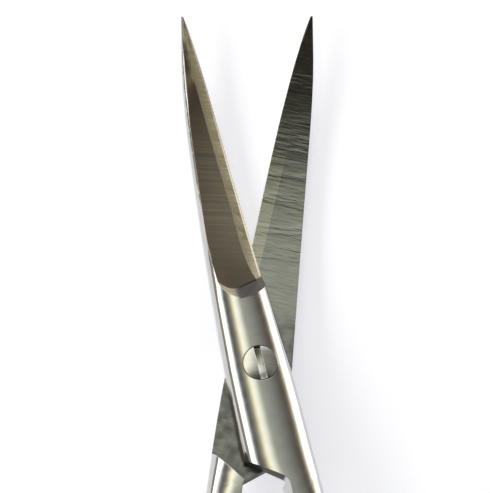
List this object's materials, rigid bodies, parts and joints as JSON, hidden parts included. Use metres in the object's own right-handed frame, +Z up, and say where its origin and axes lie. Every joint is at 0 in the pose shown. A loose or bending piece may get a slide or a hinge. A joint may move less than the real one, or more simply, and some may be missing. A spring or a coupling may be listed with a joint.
{
  "type": "la grange scissors",
  "caption": "Double curved gum scissors: two forged steel halves with finger bows, crossed on a slotted pivot screw.",
  "frame": {"origin": "centre of the bounding box of the open scissors, on the surface that they lie on", "axes": "+Y towards the tips, +X to the side of the upper half's bow, +Z up, the side of the screw's head"},
  "size_m": [0.0754, 0.1124, 0.0089],
  "materials": {
    "upper_steel": "satin brushed stainless steel",
    "lower_steel": "satin brushed stainless steel",
    "screw_steel": "turned and ground stainless steel"
  },
  "bodies": {
    "lower": {"lower_half": "lower_steel", "pivot_screw": "screw_steel"},
    "upper": {"upper_half": "upper_steel"}
  },
  "joints": [
    {"name": "pivot", "type": "hinge", "parent": "lower", "child": "upper", "pos_m": [0, 0.01781, 0.00399], "axis": [0, 0.1396, 0.9902], "range_deg": [-21, 54]}
  ]
}
